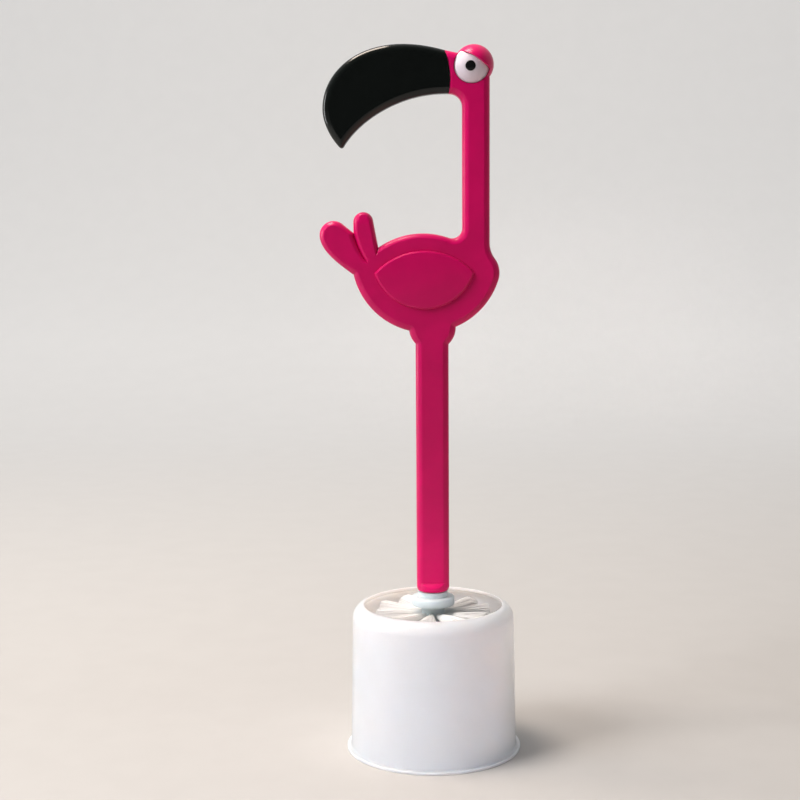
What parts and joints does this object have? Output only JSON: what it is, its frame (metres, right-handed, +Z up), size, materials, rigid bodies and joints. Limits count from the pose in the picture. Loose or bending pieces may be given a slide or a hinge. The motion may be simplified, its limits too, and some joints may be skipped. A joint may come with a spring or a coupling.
{
  "type": "toilet brush with holder",
  "caption": "Toilet brush with a flat, hollow flamingo-shaped handle, a screw-on tufted brush head and a round holder with a drip tray.",
  "frame": {"origin": "middle of the drip tray's flat underside, on the surface that the holder stands on, under the brush's axis", "axes": "+Z up along the brush's axis, the flamingo looks towards -X, and the flat front of the handle faces -Y"},
  "size_m": [0.1267, 0.113, 0.45],
  "materials": {
    "pink_plastic": "moulded, satin with a fine grain",
    "black_plastic": "moulded, high gloss",
    "eye_white": "moulded, smooth gloss",
    "pupil_black": "moulded, satin gloss",
    "insert_metal": "turned, plain",
    "core_plastic": "moulded, pale blue-white, soft gloss",
    "bristle_nylon": "nylon filaments, off-white",
    "holder_plastic": "moulded, milky and slightly translucent",
    "tray_plastic": "moulded, white"
  },
  "bodies": {
    "drip_tray": {"drip_tray": "tray_plastic"},
    "holder_cover": {"holder_cover": "holder_plastic"},
    "brush_head": {"brush_core": "core_plastic", "top_tuft_01": "bristle_nylon", "top_tuft_02": "bristle_nylon", "top_tuft_03": "bristle_nylon", "top_tuft_04": "bristle_nylon", "top_tuft_05": "bristle_nylon", "top_tuft_06": "bristle_nylon", "top_tuft_07": "bristle_nylon", "top_tuft_08": "bristle_nylon", "top_tuft_09": "bristle_nylon", "top_tuft_10": "bristle_nylon", "bristle_ring_2": "bristle_nylon", "bristle_ring_3": "bristle_nylon", "bristle_ring_4": "bristle_nylon", "bristle_ring_5": "bristle_nylon", "bristle_ring_6": "bristle_nylon", "bristle_tip": "bristle_nylon"},
    "handle": {"handle_front_shell": "pink_plastic", "handle_back_shell": "pink_plastic", "beak_front_shell": "black_plastic", "beak_back_shell": "black_plastic", "eye_front": "eye_white", "eye_back": "eye_white", "pupil_front": "pupil_black", "pupil_back": "pupil_black", "threaded_insert": "insert_metal"}
  },
  "joints": [
    {"name": "cover_lift", "type": "slide", "parent": "drip_tray", "child": "holder_cover", "axis": [0, 0, 1], "range_m": [0, 0.11]},
    {"name": "brush_lift", "type": "slide", "parent": "drip_tray", "child": "brush_head", "axis": [0, 0, 1], "range_m": [0, 0.13]},
    {"name": "handle_unscrew", "type": "hinge", "parent": "brush_head", "child": "handle", "pos_m": [0, 0, 0.115], "axis": [0, 0, 1], "range_deg": [0, 1080]}
  ]
}
